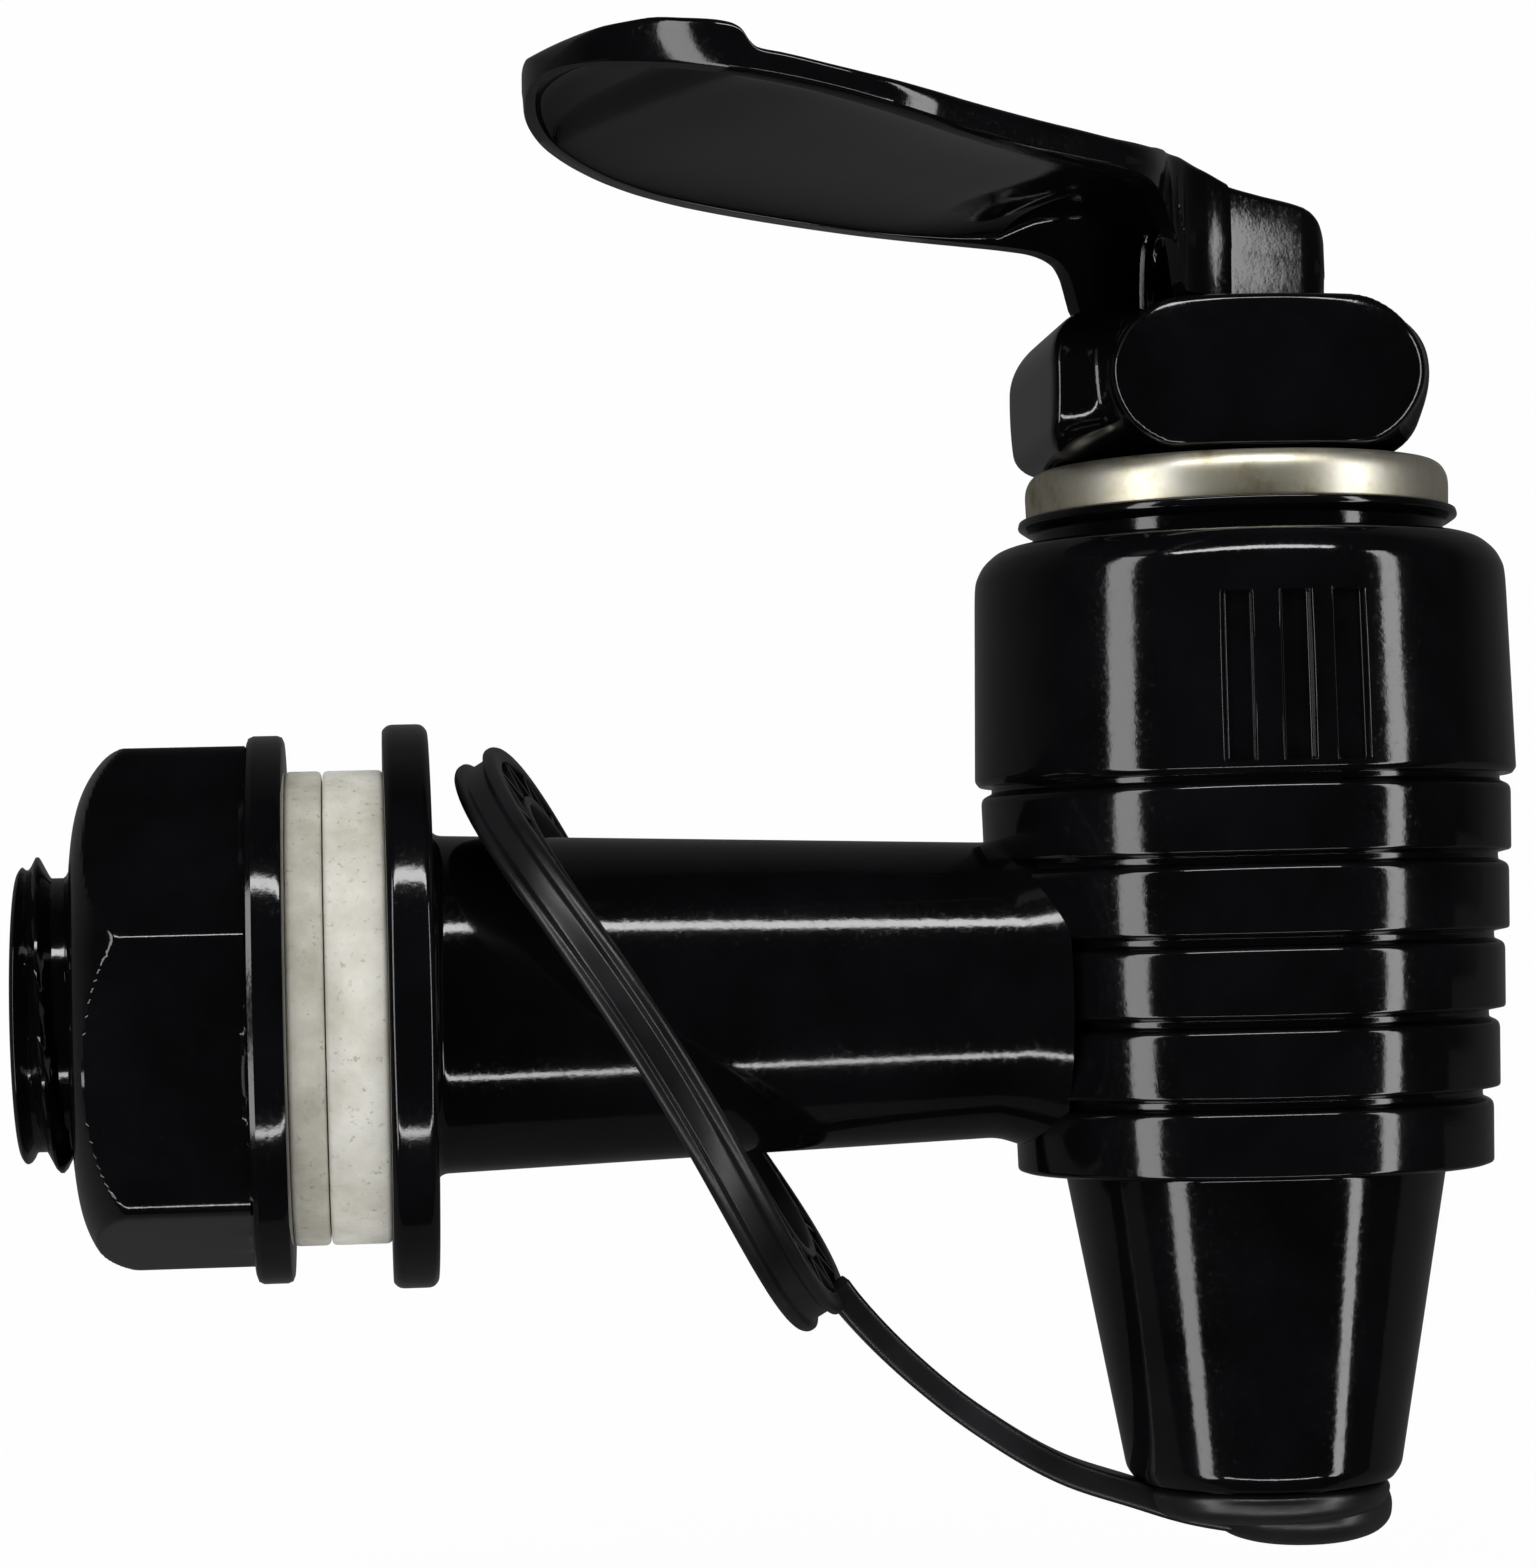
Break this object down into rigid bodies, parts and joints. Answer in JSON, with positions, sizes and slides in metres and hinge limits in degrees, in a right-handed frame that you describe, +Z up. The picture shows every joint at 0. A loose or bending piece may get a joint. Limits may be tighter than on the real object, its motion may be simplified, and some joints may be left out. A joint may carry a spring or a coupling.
{
  "type": "water purifier tap",
  "caption": "Lever tap for a water purifier tank: threaded shank with nut and washers, ringed barrel, grip bonnet, swivelling lever and a tethered dust cap on the spout.",
  "frame": {"origin": "centre of the shank's flange face that seals against the tank wall", "axes": "+X along the shank from the tank wall to the barrel, +Z up along the barrel axis towards the lever, +Y away from the side the picture shows"},
  "size_m": [0.0772, 0.0414, 0.0754],
  "materials": {
    "black_plastic": "glossy moulded",
    "black_soft": "soft satin",
    "milky_silicone": "translucent satin",
    "plated_trim": "satin plated",
    "spring_steel": "drawn wire"
  },
  "bodies": {
    "body": {"spigot_body": "black_plastic", "outer_washer": "milky_silicone", "dust_cap": "black_soft", "bonnet": "black_plastic", "bonnet_gasket": "milky_silicone", "trim_ring": "plated_trim"},
    "swivel": {"return_spring": "spring_steel"},
    "stem": {"valve_stem": "black_plastic", "stem_seal": "black_soft", "valve_plug": "milky_silicone"},
    "lever": {"lever_handle": "black_plastic"},
    "nut_carrier": {"inner_washer": "milky_silicone"},
    "nut": {"tank_nut": "black_plastic"}
  },
  "joints": [
    {"name": "lever_swivel", "type": "hinge", "parent": "body", "child": "swivel", "pos_m": [0.0447, 0, 0], "axis": [0, 0, 1], "continuous": true},
    {"name": "stem_lift", "type": "slide", "parent": "swivel", "child": "stem", "axis": [0, 0, 1], "range_m": [0, 0.0025], "stiffness_N_per_m": 20, "springref_m": -0.005, "deforming": ["return_spring"]},
    {"name": "lever_tilt", "type": "hinge", "parent": "stem", "child": "lever", "pos_m": [0.0447, 0, 0.0369], "axis": [0.4067, -0.9135, 0], "range_deg": [0, 20]},
    {"name": "nut_travel", "type": "slide", "parent": "body", "child": "nut_carrier", "axis": [-1, 0, 0], "range_m": [0, 0.008]},
    {"name": "nut_turn", "type": "hinge", "parent": "nut_carrier", "child": "nut", "pos_m": [-0.01, 0, 0], "axis": [-1, 0, 0], "range_deg": [0, 1440]}
  ],
  "couplings": [
    {"joint": "lever_tilt", "follows": "stem_lift", "rad_per_m": 139.63},
    {"joint": "nut_travel", "follows": "nut_turn", "m_per_rad": 0.00031831}
  ]
}
